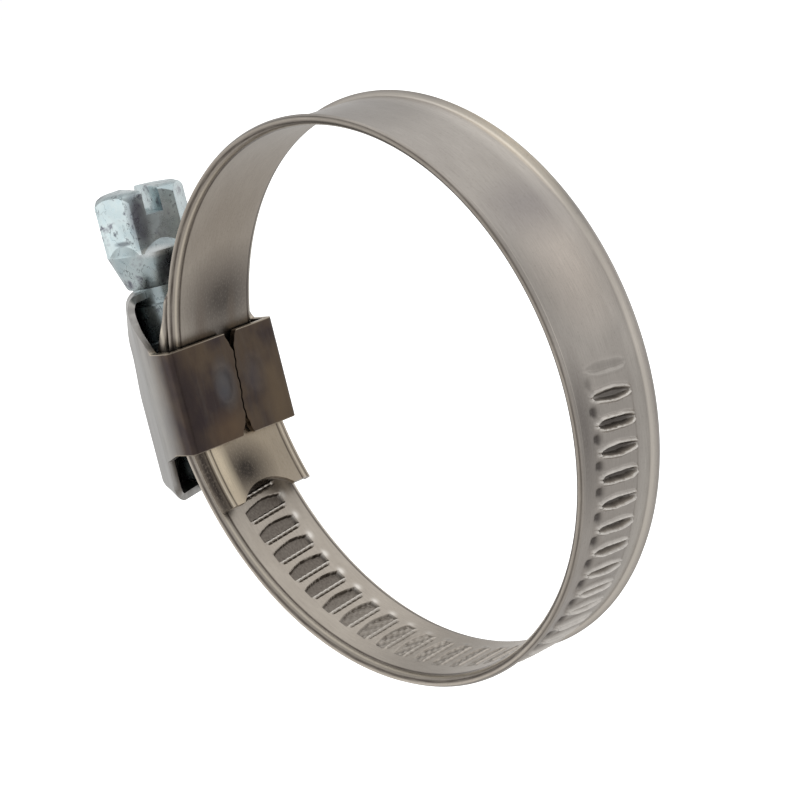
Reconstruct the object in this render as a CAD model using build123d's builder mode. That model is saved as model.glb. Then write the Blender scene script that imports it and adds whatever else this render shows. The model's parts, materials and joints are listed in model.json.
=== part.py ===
"""Worm-drive hose clamp, 30-45 mm, 9 mm band: housing, hex screw and one steel band.

Millimetres. The origin is the centre of the pipe that the open clamp fits, the bore's axis is Y,
+Z is up, and the housing with its screw is at -X with the screw's head on top.
The band is one strip on the real clamp. Here it is cut into a fixed end, a threaded free end
and nine spans between them, so that the ring can close.
Angles are in degrees in the XZ plane, from +X towards +Z.
"""

from build123d import *
from math import asin, atan, ceil, cos, degrees, floor, pi, radians, sin
import os

# Band strip
band_width = 9.0
band_thickness = 0.65
lip_height = 1.0
lip_width = 0.55
lip_round = 0.22

# Ring
ring_radius = 22.2
free_radius = 23.6
fixed_radius = 22.4
ring_x = -0.75
end_z = 3.5
threaded_span_count = 3
plain_span_count = 6
span_gap = 0.14

# Thread impressions in the band, and the screw's worm that drives them
pitch = 2.2
worm_radius = 3.3
worm_root_radius = 2.65
worm_depth_in_band = 0.4
thread_tip_width = 0.7
thread_root_width = 1.15
slot_length = 4.4
slot_width = 1.4
slot_depth = 0.5
impressions_to_join = 17
impressions_per_span = 5
impressions_on_plain = 3
tip_angle = 157.0

# Tongue of the fixed end
fixed_top_z = 2.45
tongue_angle = 204.0
tongue_arc_radius = 3.6
tongue_arc_reach = 2.4

# Housing, folded from one sheet
sheet = 0.6
flap_face_x = -21.45
side_half_width = 5.75
shoulder_x = -25.6
cover_clearance = 0.2
cover_side = 2.4
cover_round = 2.6
shoulder_round = 2.0
corner_round = 1.2
cover_bottom = -7.7
cover_top = 10.1
strap_bottom = -3.4
strap_top = 5.4
window_x = -24.0
window_upper_x = -26.2
window_upper_z = 9.0
window_lower_x = -25.6
seam_top_y = 0.95
seam_bottom_y = 0.3
seam_width = 0.16
notch_depth = 1.4
notch_width = 1.1
weld_radius = 1.0
weld_z = 1.3
weld_sides = (-1.0, 2.4)

# Screw
worm_neck_radius = 2.5
pilot_radius = 1.5
bearing_clearance = 0.08
pilot_end_gap = 0.1
core_bottom = -6.6
core_top = 8.9
thread_turns = 5.5
thread_embed = 0.15
turns_below_mesh = 3
collar_bottom = 10.35
collar_bottom_radius = 2.75
collar_top_radius = 3.9
hex_bottom = 13.2
shoulder_height = 1.2
shoulder_radius = 3.35
hex_top = 18.6
hex_flats = 7.0
hex_turn = 10.0
hex_chamfer = 0.45
screw_slot_width = 1.5
screw_slot_depth = 2.1
screw_slot_turn = 160.0

# Worked out from the above
lap = free_radius - ring_radius
ring_centre = Vector(ring_x, 0, 0)
mesh_centre = Vector(ring_x, 0, lap)
free_outer_radius = free_radius + band_thickness
worm_offset = worm_radius - worm_depth_in_band
worm_x = ring_x - free_outer_radius - worm_offset
cover_inner_radius = worm_radius + cover_clearance
cover_outer_radius = cover_inner_radius + sheet
end_angle = 540.0 - degrees(asin(end_z / ring_radius))
gap_angle = degrees(span_gap / ring_radius)
pitch_angle = degrees(pitch / (free_outer_radius - worm_depth_in_band / 2))
threaded_span_angle = impressions_per_span * pitch_angle
join_angle = 180.0 + (impressions_to_join + 0.5) * pitch_angle
plain_start_angle = join_angle + threaded_span_count * threaded_span_angle
plain_span_angle = (end_angle - plain_start_angle) / plain_span_count
thread_end_angle = plain_start_angle + impressions_on_plain * pitch_angle
slot_slant = degrees(atan(pitch / (2 * pi * (worm_radius + worm_offset) / 2)))
fixed_top_angle = 180.0 - degrees(asin((fixed_top_z - lap) / fixed_radius))
thread_bottom = lap - turns_below_mesh * pitch
beyond = 2 * band_width


def radial(angle):
    """Unit vector from the ring's centre at an angle in the XZ plane."""
    return Vector(cos(radians(angle)), 0, sin(radians(angle)))


def section_plane(centre, angle):
    """Plane across the band: local x is outward, local y is along the bore's axis."""
    forward = Vector(-sin(radians(angle)), 0, cos(radians(angle)))
    return Plane(origin=centre, x_dir=radial(angle), z_dir=forward)


def outer_plane(centre, radius, angle):
    """Plane on the band's outer side: local x is across the band, local z is outward."""
    return Plane(origin=centre + radial(angle) * radius, x_dir=(0, 1, 0), z_dir=radial(angle))


def band_profile(inner_radius):
    """Section of the strip, with both edges turned outward into lips."""
    half = band_width / 2
    flat = inner_radius + band_thickness
    top = inner_radius + lip_height
    inset = half - lip_width
    with BuildSketch() as profile:
        with BuildLine():
            Polyline(
                (inner_radius, -half),
                (top, -half),
                (top, -inset),
                (flat, -inset),
                (flat, inset),
                (top, inset),
                (top, half),
                (inner_radius, half),
                close=True,
            )
        make_face()
        corners = profile.vertices().filter_by(lambda v: abs(v.Y) > inset + lip_width / 2)
        fillet(corners, lip_round)
    return profile.sketch


def band_arc(centre, inner_radius, start, stop):
    """A stretch of band from one angle to another."""
    with BuildSketch(section_plane(centre, start)) as section:
        add(band_profile(inner_radius))
    revolve(section.sketch, axis=Axis(centre, (0, -1, 0)), revolution_arc=stop - start)


def thread_slots(centre, outer_radius, angles):
    """Slanted impressions that the worm's thread runs in."""
    for angle in angles:
        with BuildSketch(outer_plane(centre, outer_radius - slot_depth, angle)) as impression:
            SlotOverall(slot_length, slot_width, rotation=-slot_slant)
        extrude(impression.sketch, amount=slot_depth + lip_height, mode=Mode.SUBTRACT)


def slot_angles(start, stop):
    """Angles of the whole impressions between two angles, counted from the worm's middle."""
    margin = 0.45 * pitch_angle
    first = ceil((start + margin - 180.0) / pitch_angle)
    last = floor((stop - margin - 180.0) / pitch_angle)
    return [180.0 + step * pitch_angle for step in range(first, last + 1)]


# Fixed end: welded behind the flaps, it comes out below them as a short tongue
with BuildPart() as band_fixed_end:
    band_arc(mesh_centre, fixed_radius, fixed_top_angle, tongue_angle)
    with BuildSketch(outer_plane(mesh_centre, fixed_radius - sheet, tongue_angle)):
        with Locations((0, tongue_arc_reach - tongue_arc_radius)):
            Circle(tongue_arc_radius)
    extrude(amount=lip_height + 2 * sheet, mode=Mode.SUBTRACT)

# Free end: the threaded stretch that the worm draws through the housing
with BuildPart() as band_free_end:
    band_arc(mesh_centre, free_radius, tip_angle, join_angle - gap_angle / 2)
    thread_slots(mesh_centre, free_outer_radius, slot_angles(tip_angle, join_angle))

# Spans of the ring, from the free end round to the plain end in the housing's top
span_starts = [join_angle + index * threaded_span_angle for index in range(threaded_span_count)]
span_starts += [plain_start_angle + index * plain_span_angle for index in range(plain_span_count)]
spans = []
for begin, end in zip(span_starts, span_starts[1:] + [end_angle]):
    with BuildPart() as span:
        band_arc(ring_centre, ring_radius, begin + gap_angle / 2, end - gap_angle / 2)
        if begin < thread_end_angle:
            threaded = slot_angles(begin, min(end, thread_end_angle))
            thread_slots(ring_centre, ring_radius + band_thickness, threaded)
    spans.append(span)


def cover_outline():
    """Outer outline of the folded sheet, looking down the screw."""
    outer_x = worm_x - cover_outer_radius
    with BuildSketch() as outline:
        with BuildLine():
            Polyline(
                (flap_face_x, -side_half_width),
                (shoulder_x, -side_half_width),
                (outer_x, -cover_side),
                (outer_x, cover_side),
                (shoulder_x, side_half_width),
                (flap_face_x, side_half_width),
                close=True,
            )
        make_face()
        columns = outline.vertices().group_by(Axis.X)
        fillet(columns[0], cover_round)
        fillet(columns[1], shoulder_round)
        fillet(columns[2], corner_round)
    return outline.sketch


def side_window(*corners):
    """An opening through both side walls, drawn on the XZ plane."""
    with BuildSketch(Plane.XZ) as opening:
        with BuildLine():
            Polyline(*corners, close=True)
        make_face()
    extrude(opening.sketch, amount=beyond, both=True, mode=Mode.SUBTRACT)


def seam_cut(*corners):
    """An opening through the two flaps, drawn looking along X."""
    flap_plane = Plane(origin=(flap_face_x, 0, 0), x_dir=(0, 1, 0), z_dir=(1, 0, 0))
    with BuildSketch(flap_plane) as opening:
        with BuildLine():
            Polyline(*corners, close=True)
        make_face()
    extrude(opening.sketch, amount=1.5 * sheet, both=True, mode=Mode.SUBTRACT)


# Housing: cover over the worm, side straps, and two flaps that meet on the inside of the band
with BuildPart() as housing:
    with BuildSketch(Plane.XY.offset(cover_bottom)):
        add(cover_outline())
        offset(amount=-sheet, mode=Mode.SUBTRACT)
    extrude(amount=cover_top - cover_bottom)
    for wall_z, bore_radius in (
        (cover_bottom, pilot_radius),
        (cover_top - sheet, worm_neck_radius),
    ):
        with BuildSketch(Plane.XY.offset(wall_z)):
            add(cover_outline())
            with Locations((worm_x, 0)):
                Circle(bore_radius + bearing_clearance, mode=Mode.SUBTRACT)
        extrude(amount=sheet)
    side_window(
        (0, strap_top),
        (window_x, strap_top),
        (window_upper_x, window_upper_z),
        (window_upper_x, cover_top + sheet),
        (0, cover_top + sheet),
    )
    side_window(
        (0, strap_bottom),
        (window_x, strap_bottom),
        (window_lower_x, strap_bottom - sheet),
        (window_lower_x, cover_bottom - sheet),
        (0, cover_bottom - sheet),
    )
    half_seam = seam_width / 2
    seam_cut(
        (seam_bottom_y - half_seam, strap_bottom - sheet),
        (seam_bottom_y + half_seam, strap_bottom - sheet),
        (seam_top_y + half_seam, strap_top + sheet),
        (seam_top_y - half_seam, strap_top + sheet),
    )
    for notch_y, notch_edge, notch_tip in (
        (seam_top_y, strap_top, strap_top - notch_depth),
        (seam_bottom_y, strap_bottom, strap_bottom + notch_depth),
    ):
        seam_cut(
            (notch_y - notch_width / 2, notch_edge),
            (notch_y, notch_tip),
            (notch_y + notch_width / 2, notch_edge),
        )
    weld_plane = Plane(origin=(flap_face_x - sheet / 2, 0, weld_z), x_dir=(0, 1, 0), z_dir=(-1, 0, 0))
    with BuildSketch(weld_plane):
        with Locations(*[(side, 0) for side in weld_sides]):
            Circle(weld_radius)
    extrude(amount=flap_face_x - sheet / 2 - (ring_x - fixed_radius - band_thickness / 3))
    add(band_fixed_end.part, mode=Mode.SUBTRACT)

# Screw: hex head with a slot and a sloping shoulder, tapered collar, and worm, in one piece
screw_plane = Plane(origin=(worm_x, 0, 0), x_dir=(1, 0, 0), z_dir=(0, -1, 0))
with BuildPart() as screw:
    with BuildSketch(screw_plane):
        with BuildLine():
            Polyline(
                (0, cover_bottom + pilot_end_gap),
                (pilot_radius, cover_bottom + pilot_end_gap),
                (pilot_radius, core_bottom),
                (worm_root_radius, core_bottom),
                (worm_root_radius, core_top),
                (worm_neck_radius, core_top),
                (worm_neck_radius, collar_bottom),
                (collar_bottom_radius, collar_bottom),
                (collar_top_radius, hex_bottom),
                (shoulder_radius, hex_bottom + shoulder_height),
                (0, hex_bottom + shoulder_height),
                close=True,
            )
        make_face()
    revolve(axis=Axis((worm_x, 0, 0), (0, 0, 1)))
    with BuildLine() as thread_path:
        Helix(pitch, thread_turns * pitch, worm_root_radius, center=(worm_x, 0, thread_bottom))
    thread_start = Plane(
        origin=thread_path.line @ 0, x_dir=(1, 0, 0), z_dir=thread_path.line % 0
    )
    with BuildSketch(thread_start):
        with BuildLine():
            Polyline(
                (-thread_embed, -thread_root_width / 2),
                (worm_radius - worm_root_radius, -thread_tip_width / 2),
                (worm_radius - worm_root_radius, thread_tip_width / 2),
                (-thread_embed, thread_root_width / 2),
                close=True,
            )
        make_face()
    sweep(path=thread_path.line, is_frenet=True)
    with BuildSketch(Plane(origin=(worm_x, 0, hex_bottom))):
        RegularPolygon(hex_flats / 2, 6, major_radius=False, rotation=hex_turn)
    extrude(amount=hex_top - hex_bottom)
    chamfer(screw.edges().group_by(Axis.Z)[-1], hex_chamfer)
    with BuildSketch(Plane(origin=(worm_x, 0, hex_top - screw_slot_depth))):
        Rectangle(2 * hex_flats, screw_slot_width, rotation=screw_slot_turn)
    extrude(amount=screw_slot_depth, mode=Mode.SUBTRACT)

os.makedirs("parts", exist_ok=True)
named = {
    "housing": housing,
    "screw": screw,
    "band_fixed_end": band_fixed_end,
    "band_free_end": band_free_end,
}
for number, span in enumerate(spans, start=1):
    named[f"band_span_{number:02d}"] = span
for name, piece in named.items():
    piece.part.label = name
    export_step(piece.part, f"parts/{name}.step")
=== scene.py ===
"""Looks of the worm-drive hose clamp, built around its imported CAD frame.

Lengths are in millimetres here, apart from the stage's, and become metres only in the meshes. Places
come from the frame: the hinges give the mesh centre, the ring's size and the cuts between the spans, and
the screw's hinge gives its axis. Angles are in degrees in the XZ plane, from +X towards +Z.
"""

import json
import math

import bmesh
import bpy
import numpy as np
from mathutils import Matrix, Vector


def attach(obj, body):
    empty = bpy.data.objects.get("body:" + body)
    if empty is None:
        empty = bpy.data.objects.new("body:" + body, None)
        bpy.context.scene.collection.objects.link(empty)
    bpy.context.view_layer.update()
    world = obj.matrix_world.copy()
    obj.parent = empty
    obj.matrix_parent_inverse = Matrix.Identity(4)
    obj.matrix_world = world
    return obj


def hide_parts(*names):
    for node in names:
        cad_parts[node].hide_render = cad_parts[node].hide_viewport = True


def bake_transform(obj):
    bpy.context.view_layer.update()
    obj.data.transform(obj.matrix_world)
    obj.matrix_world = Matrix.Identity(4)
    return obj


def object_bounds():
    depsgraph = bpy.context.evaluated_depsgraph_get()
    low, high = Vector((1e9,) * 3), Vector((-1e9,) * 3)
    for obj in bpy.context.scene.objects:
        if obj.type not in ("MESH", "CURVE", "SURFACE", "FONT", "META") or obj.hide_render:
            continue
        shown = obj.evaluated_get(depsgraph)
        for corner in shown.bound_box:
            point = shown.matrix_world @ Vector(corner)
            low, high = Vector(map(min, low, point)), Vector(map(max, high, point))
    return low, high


MM = 0.001

# Band strip. MID_STRIP is the middle of the CAD's strip, where its hinges stand
STRIP = 0.55
HALF_WIDTH = 4.48
BEND_INNER = 0.95
BEND_ANGLE = 60.0
BEND_LENGTH = 0.28
EDGE_ROUND = 0.09
PRESSED_HALF = 2.5
COLUMN_STEP = 0.125
SIDE_COLUMNS = 4
BEND_COLUMNS = 7
PRESSED_ROWS = 30
PLAIN_ROW_ANGLE = 0.9
SEAM_ROW_ANGLE = 0.03
MID_STRIP = 0.325

# The band's line changes from the mesh centre's arc to the ring's at BOTTOM_ANGLE. A hinge whose angle is
# less than WRAP_ANGLE is past the full turn, so 360 is added to it
BOTTOM_ANGLE = 270.0
WRAP_ANGLE = 230.0

# Thread impressions. Places from a groove are in millimetres, and shares are of one pitch
PITCH = 2.2
PITCH_ANGLE = 5.2412
SLANT = 6.5
THREAD_END_ANGLE = 366.1
THREAD_FADE_IN = (3.0, 6.0)
THREAD_FADE_OUT = 11.0
LENS_HALF, LENS_SHIFT = 1.95, 0.1
LENS_END = 2.25
GROOVE_HALF = 0.33
GROOVE_DEPTH = 0.27
RIM_AWAY, RIM_WIDTH, RIM_HEIGHT = 0.16, 0.15, 0.27
LAND_FROM, LAND_TO, LAND_HEIGHT = 0.3, 0.5, 0.09
CORNER_AWAY, CORNER_ACROSS, CORNER_SIZE, CORNER_DEPTH = 1.0, -1.95, (0.34, 0.32), 0.25
ARCH_START, ARCH_RISE, ARCH_HALF, ARCH_JITTER = 0.04, 0.17, 2.05, 0.02
POCKET_SLOPE, POCKET_STOP, POCKET_DEPTH, POCKET_ENDS = 0.07, (0.6, 0.64), 0.33, (1.9, 2.15)
BAR_AT, BAR_WIDTH, BAR_HEIGHT, BAR_ENDS = 0.68, 0.045, 0.09, (1.7, 2.2)
CREASE_AT, CREASE_WIDTH, CREASE_DEPTH, CREASE_ENDS = 0.765, 0.03, 0.2, (1.6, 2.0)
# Painted highlights on the inside's lands
GLINT_AT, GLINT_ACROSS, GLINT_SIZE = 0.3, 2.3, (0.16, 0.22)
WORN_FROM, WORN_TO = 226.0, 262.0
# Where those painted highlights carry painted shade notches
NOTCH_SHADE_FROM, NOTCH_SHADE_TO = 252.0, 262.0
ROUGH_HEIGHT = 0.045

# Marks on the strip, painted highlights and painted shadows among them: place along, across and side (0
# inner, 1 outer), size, colour, strength. The tongue's places along begin at TONGUE_MARKS_AT
TONGUE_MARKS_AT = 400.0
MARK_EDGE = 0.75
STRIP_MARKS_AND_PAINTED_LIGHT = (
    ((404.0, 0.0, 0.0), (14.0, 9.0, 0.5), (178, 162, 138), 0.75),
    ((408.2, -1.1, 0.0), (2.0, 1.9, 0.5), (50, 45, 42), 1.0),
    # Painted highlight along the tongue's -y side, and painted shadow on its turned -y lip, which stands off
    # the band
    ((407.5, -3.3, 0.0), (4.0, 0.7, 0.5), (244, 228, 200), 0.9),
    ((407.5, -4.65, 0.0), (8.0, 0.45, 0.5), (52, 45, 42), 1.0),
    # Painted shadow across the inner face where the band runs in under the housing, and a darker patch
    # before it
    ((136.7, 0.4, 0.0), (0.95, 7.0, 0.4), (48, 40, 36), 1.0),
    ((132.9, 0.9, 0.0), (3.1, 3.1, 0.4), (72, 69, 68), 1.0),
    ((135.6, -1.5, 0.0), (2.6, 0.5, 0.4), (110, 98, 88), 0.6),
    ((135.4, 1.9, 0.0), (2.2, 0.4, 0.4), (116, 104, 92), 0.6),
    ((124.0, 0.0, 0.0), (7.0, 3.6, 0.4), (150, 138, 124), 0.5),
    ((69.5, -3.2, 1.0), (4.5, 0.9, 0.4), (112, 107, 104), 0.7),
    # A painted highlight as a bright smear, then a darker patch
    ((80.8, 0.7, 1.0), (3.4, 2.5, 0.4), (238, 226, 214), 0.65),
    ((86.0, 0.6, 1.0), (2.0, 2.8, 0.4), (140, 135, 136), 0.55),
    # Painted highlights: a bright streak and two long pale strips near the +y edge
    ((92.0, 3.8, 1.0), (4.5, 0.35, 0.4), (252, 238, 214), 0.9),
    ((56.0, 3.1, 1.0), (12.0, 0.7, 0.4), (226, 222, 214), 0.5),
    ((98.0, 2.9, 1.0), (16.0, 0.7, 0.4), (226, 220, 212), 0.45),
    ((126.0, 0.4, 1.0), (5.0, 2.6, 0.4), (116, 108, 102), 0.45),
)

# Painted shade and painted highlight lines along both edges, on the lips' bends: distance from the middle,
# half width, side, colour, strength
EDGE_PAINTED_LIGHT_LINES = (
    (3.72, 0.13, 0.0, (66, 58, 54), 0.85),
    (4.02, 0.11, 0.0, (232, 222, 204), 0.7),
    (4.3, 0.1, 0.0, (66, 58, 54), 0.85),
    (3.74, 0.24, 1.0, (232, 224, 212), 0.6),
    (4.36, 0.1, 1.0, (58, 50, 50), 0.85),
)

# Ends of the band. The tip's share of width is lost over a stretch of the strip, in millimetres
TIP_ANGLE = 157.0
TIP_ROUND, TIP_ROUND_OVER = 0.16, (-0.2, 1.4)
TIP_TAPER, TIP_TAPER_OVER = 0.13, (2.5, 6.5)
TIP_LEAN, TIP_LEAN_ANGLES = 0.9, (-1.0, 15.0)
END_Z = 3.5
TONGUE_RADIUS = 22.4
TONGUE_TOP_Z = 2.45
TONGUE_ANGLE = 206.6
TONGUE_ARC_RADIUS = 3.6
TONGUE_ARC_REACH = 1.3
TONGUE_LIFT = 0.4
TONGUE_WIDEN = 0.5
TONGUE_SHIFT = 0.12
TONGUE_ROWS = 60
WIDEN_OVER = (0.5, 3.0)

# Housing, folded from one sheet
SHEET = 0.6
FLAP_X = -21.45
FLAP_Y = 5.75
SHOULDER_X = -25.6
COVER_X = -32.0
COVER_Y = 2.4
FOLD_ROUNDS = (0.5, 2.4, 2.7)
STRAP_LOW, STRAP_HIGH = -3.4, 5.4
COVER_LOW, COVER_HIGH = -7.7, 10.1
END_CURL = 1.4
NECK_RADIUS = 2.6
PILOT_HOLE = 1.6
WINDOW_X = -24.0
WINDOW_HIGH_X, WINDOW_HIGH_Z = -26.2, 9.0
WINDOW_LOW_X, WINDOW_LOW_Z = -25.6, -4.0
WINDOW_SLOPE, WINDOW_COLUMNS = 0.06, 14
SEAM_HIGH_Y, SEAM_LOW_Y = 0.95, 0.3
SEAM_GAP = 0.07
NOTCH_DEPTH = 1.7
NOTCH_HALF = 0.6
NOTCH_CURVE = 1.3
SHEET_BEVEL = 0.09

# The cover's back leans in with height, by (depth, from z, to z), and its share comes in over these -x
BACK_FROM, BACK_TO = 25.0, 30.5
BACK_TAPERS = ((0.22, 0.5, 5.0), (0.5, 5.5, 9.5))
MOST_INWARD = 0.97

# The flaps' faces are at less than these -x, and are a little wavy
FLAP_FROM, FLAP_TO = 21.5, 21.9
FLAP_WAVE = 0.05

# Welds: z, and each one's y and depth
WELD_Z = 1.3
WELDS = ((-1.0, 0.1), (2.4, 0.05))
WELD_HALF_Y, WELD_HALF_Z = 0.95, 1.5

# Tints on the flaps: place, size, colour, strength
FLAP_TINTS = (
    ((-21.5, -0.9, 1.4), (0.8, 0.9, 1.7), (96, 97, 101), 0.6),
    ((-21.5, 2.4, 1.3), (0.8, 0.9, 1.4), (92, 88, 90), 0.4),
    ((-21.5, 4.2, -1.0), (0.8, 1.4, 3.4), (118, 102, 82), 0.5),
    ((-21.5, -1.6, -2.4), (0.8, 1.8, 1.4), (112, 92, 72), 0.5),
    ((-21.5, -3.6, 4.4), (0.8, 1.6, 1.4), (104, 88, 70), 0.4),
    # This one only darkens a strip along the -y fold
    ((-21.5, -5.0, 0.6), (1.4, 0.9, 4.6), (52, 45, 48), 0.7),
)

# The sheet's mesh: step along it, rows up it, and the nudge that gives its normals
SHEET_STEP = 0.2
SHEET_ROWS = 110
SHEET_NUDGE = 0.01

# The heat tint's range of x, and the painted highlight along the straps' cut edges
HEAT_FROM_X, HEAT_TO_X = -25.4, -22.6
CUT_EDGE = 0.1
CUT_FADE = 0.3

# Screw. Profiles are (radius, z) from bottom to top
ROOT_RADIUS = 2.65
THREAD_LOW, THREAD_HIGH = -5.2, 6.9
HEX_FLATS = 6.96
HEX_TURN = 10.0
HEX_LOW, HEX_HIGH = 13.4, 18.6
HEX_SIDES = 6
SCREW_BEVEL = 0.13
HEAD_PROFILE = (
    (0.0, HEX_LOW - 1.0),
    (4.2, HEX_LOW - 1.0),
    (4.2, HEX_HIGH - 1.05),
    (3.92, HEX_HIGH - 0.62),
    (3.62, HEX_HIGH - 0.28),
    (3.2, HEX_HIGH - 0.06),
    (2.7, HEX_HIGH),
    (0.0, HEX_HIGH),
)
BODY_PROFILE = (
    (0.0, COVER_LOW + 0.1),
    (1.38, COVER_LOW + 0.1),
    (1.5, COVER_LOW + 0.22),
    (1.5, -6.6),
    (2.5, -6.6),
    (ROOT_RADIUS, -6.45),
    (ROOT_RADIUS, 8.8),
    (2.5, 8.95),
    (2.5, 10.35),
    (2.85, 10.35),
    (2.95, 10.5),
    (3.84, 13.22),
    (3.9, 13.4),
    (3.84, 13.58),
    (3.35, 14.6),
    (3.0, 14.8),
    (0.0, 14.8),
)

# The thread's section as (height over the root, z), and its run-outs' length in turns and least width
THREAD_SECTION = (
    (-0.15, -0.57),
    (0.05, -0.5),
    (0.44, -0.36),
    (0.5, -0.26),
    (0.5, 0.26),
    (0.44, 0.36),
    (0.05, 0.5),
    (-0.15, 0.57),
)
THREAD_STEPS = 64
RUN_OUT = 0.3
RUN_OUT_WIDTH = 0.3

# Marks on the screw, a painted highlight and a painted shadow among them: place, size, colour, strength
SCREW_MARK_EDGE = 0.4
SCREW_MARKS_AND_PAINTED_LIGHT = (
    ((-25.2, -2.5, 16.2), (0.8, 0.8, 2.4), (66, 60, 74), 0.8),
    ((-24.4, -1.2, 16.0), (0.9, 1.2, 2.6), (182, 192, 198), 0.6),
    ((-24.6, -1.0, 11.6), (1.0, 1.0, 1.6), (78, 70, 82), 0.75),
    # Painted highlight on the collar's rim
    ((-24.9, -1.9, 13.4), (1.3, 1.3, 0.4), (240, 244, 244), 0.8),
    ((-27.0, -3.6, 14.5), (0.9, 0.9, 0.2), (70, 72, 80), 0.7),
    # Painted shadow over the worm inside the housing
    ((-27.9, 0.0, 0.5), (4.2, 4.2, 9.0), (50, 56, 66), 0.85),
)

# The end slot and how far the solid that cuts it goes past the head
DRIVE_SLOT = 1.5
DRIVE_DEPTH = 2.1
DRIVE_TURN = 160.0
DRIVE_REACH, DRIVE_CLEAR = 6.0, 2.0

# Colours, 0-255. A pair is mixed by a cloudy noise
OUTER_STEEL = ((166, 160, 154), (186, 180, 173))
INNER_STEEL = ((172, 163, 152), (194, 186, 175))
GRAIN_DARK = (120, 112, 104)
SPECK_DARK = (104, 97, 90)
# Painted shade in the thread's grooves and pockets, and painted highlights on its rims and bars
GROOVE_PAINTED_SHADE = (58, 53, 51)
POCKET_PAINTED_SHADE = (70, 63, 58)
RIM_PAINTED_HIGHLIGHT = (238, 233, 226)
SHEET_STEEL = ((170, 168, 165), (188, 186, 182))
HEAT_TINTS = ((68, 59, 58), (88, 76, 66))
STREAK_DARK = (96, 92, 90)
HEAT_GOLD = (122, 106, 86)
# Painted highlight along the straps' cut edges
STRAP_EDGE_HIGHLIGHT = (196, 184, 166)
ZINC = ((176, 192, 196), (205, 216, 216))
PIT_DARK = (82, 88, 98)
WRINKLE_DARK = (58, 62, 70)
ZINC_VIOLET = (104, 100, 116)

# Stage, in metres
LENS, SENSOR = 124.83, 36.0
NEAR_CLIP = 0.01
CAMERA_PLACE = (0.16248, -0.1383, 0.03861)
CAMERA_RIGHT = (0.6601, 0.7138, -0.2339)
CAMERA_UP = (0.0196, 0.2949, 0.9553)
CAMERA_BACK = (0.7509, -0.6352, 0.1807)
FLOOR_GAP = 0.06
FLOOR_HALF = 6.0
FLOOR_GLOW = 0.9
SKY_LOW = (0.74, 0.73, 0.72, 1.0)
SKY_HIGH = (0.62, 0.62, 0.62, 1.0)
SKY_LEVELS = ((0.3, 0.72), (0.44, 0.68), (0.48, 1.02), (0.53, 1.02), (0.62, 0.66))
LAMPS = (("over", (0.05, 0.25, 0.6), 0.9, 1.1), ("side", (-0.35, -0.55, 0.05), 0.6, 0.5))

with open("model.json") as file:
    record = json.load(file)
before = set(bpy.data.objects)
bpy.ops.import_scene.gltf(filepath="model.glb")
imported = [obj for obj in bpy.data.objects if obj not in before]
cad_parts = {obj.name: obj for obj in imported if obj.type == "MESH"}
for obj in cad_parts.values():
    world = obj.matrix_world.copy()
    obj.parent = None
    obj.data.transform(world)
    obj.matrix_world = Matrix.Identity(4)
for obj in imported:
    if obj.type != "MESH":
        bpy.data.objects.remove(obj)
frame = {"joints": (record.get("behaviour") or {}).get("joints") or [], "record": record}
cad_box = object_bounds()
JOINTS = {joint["name"]: joint for joint in frame["joints"]}


def joint_place(name):
    """A hinge's place in millimetres."""
    return [value / MM for value in JOINTS[name]["pos_m"]]


MESH_X, _, MESH_Z = joint_place("band_feed")
WORM_X = joint_place("screw_turn")[0]
BENDS = sorted(name for name in JOINTS if name.startswith("band_bend_"))
FIRST_X, _, FIRST_Z = joint_place(BENDS[0])
RING_RADIUS = math.hypot(FIRST_X - MESH_X, FIRST_Z) - MID_STRIP
FREE_RADIUS = RING_RADIUS + MESH_Z
TONGUE_FIRST = 180.0 - math.degrees(math.asin((TONGUE_TOP_Z - MESH_Z) / TONGUE_RADIUS))


def hinge_angle(name):
    """The angle round the ring's centre at which a bend's hinge stands."""
    x, _, z = joint_place(name)
    angle = math.degrees(math.atan2(z, x - MESH_X)) % 360.0
    return angle if angle > WRAP_ANGLE else angle + 360.0


def smooth(value, low, high):
    """0 below low, 1 above high, and a smooth rise between."""
    share = np.clip((value - low) / (high - low), 0.0, 1.0)
    return share * share * (3.0 - 2.0 * share)


def peak(value, centre, width):
    """A rounded peak, 1 at its centre."""
    return np.exp(-(((value - centre) / width) ** 2))


def make_object(name, verts, faces, material, sharp=40.0):
    """A smooth-shaded mesh object from points in millimetres."""
    mesh = bpy.data.meshes.new(name)
    mesh.from_pydata([tuple(point) for point in np.asarray(verts) * MM], [], faces)
    mesh.validate()
    mesh.shade_smooth()
    mesh.set_sharp_from_angle(angle=math.radians(sharp))
    piece = bpy.data.objects.new(name, mesh)
    bpy.context.scene.collection.objects.link(piece)
    mesh.materials.append(material)
    return piece


def set_attribute(piece, name, values):
    """Stores three numbers at each point of a mesh, for its material."""
    layer = piece.data.attributes.new(name, "FLOAT_VECTOR", "POINT")
    layer.data.foreach_set("vector", np.asarray(values, np.float32).ravel())


# Materials


def node(tree, kind, inputs=None, **settings):
    """A new shader node with its inputs linked or set."""
    made = tree.nodes.new("ShaderNode" + kind)
    for key, value in settings.items():
        setattr(made, key, value)
    for key, value in (inputs or {}).items():
        if isinstance(value, bpy.types.NodeSocket):
            tree.links.new(value, made.inputs[key])
        else:
            made.inputs[key].default_value = value
    return made


def new_material(name):
    """An empty node material and its tree."""
    material = bpy.data.materials.new(name)
    material.use_nodes = True
    material.node_tree.nodes.clear()
    return material, material.node_tree


def rgb(colour):
    """A linear colour from 0-255 values."""
    return tuple(((c / 255.0 + 0.055) / 1.055) ** 2.4 for c in colour) + (1.0,)


def stretched_noise(tree, place, scale, detail=4.0, rough=0.6):
    """Noise over a place that is first scaled on each axis."""
    mapped = node(tree, "Mapping", {"Vector": place, "Scale": scale})
    return node(
        tree,
        "TexNoise",
        {"Vector": mapped.outputs[0], "Scale": 1.0, "Detail": detail, "Roughness": rough},
    ).outputs["Fac"]


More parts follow.
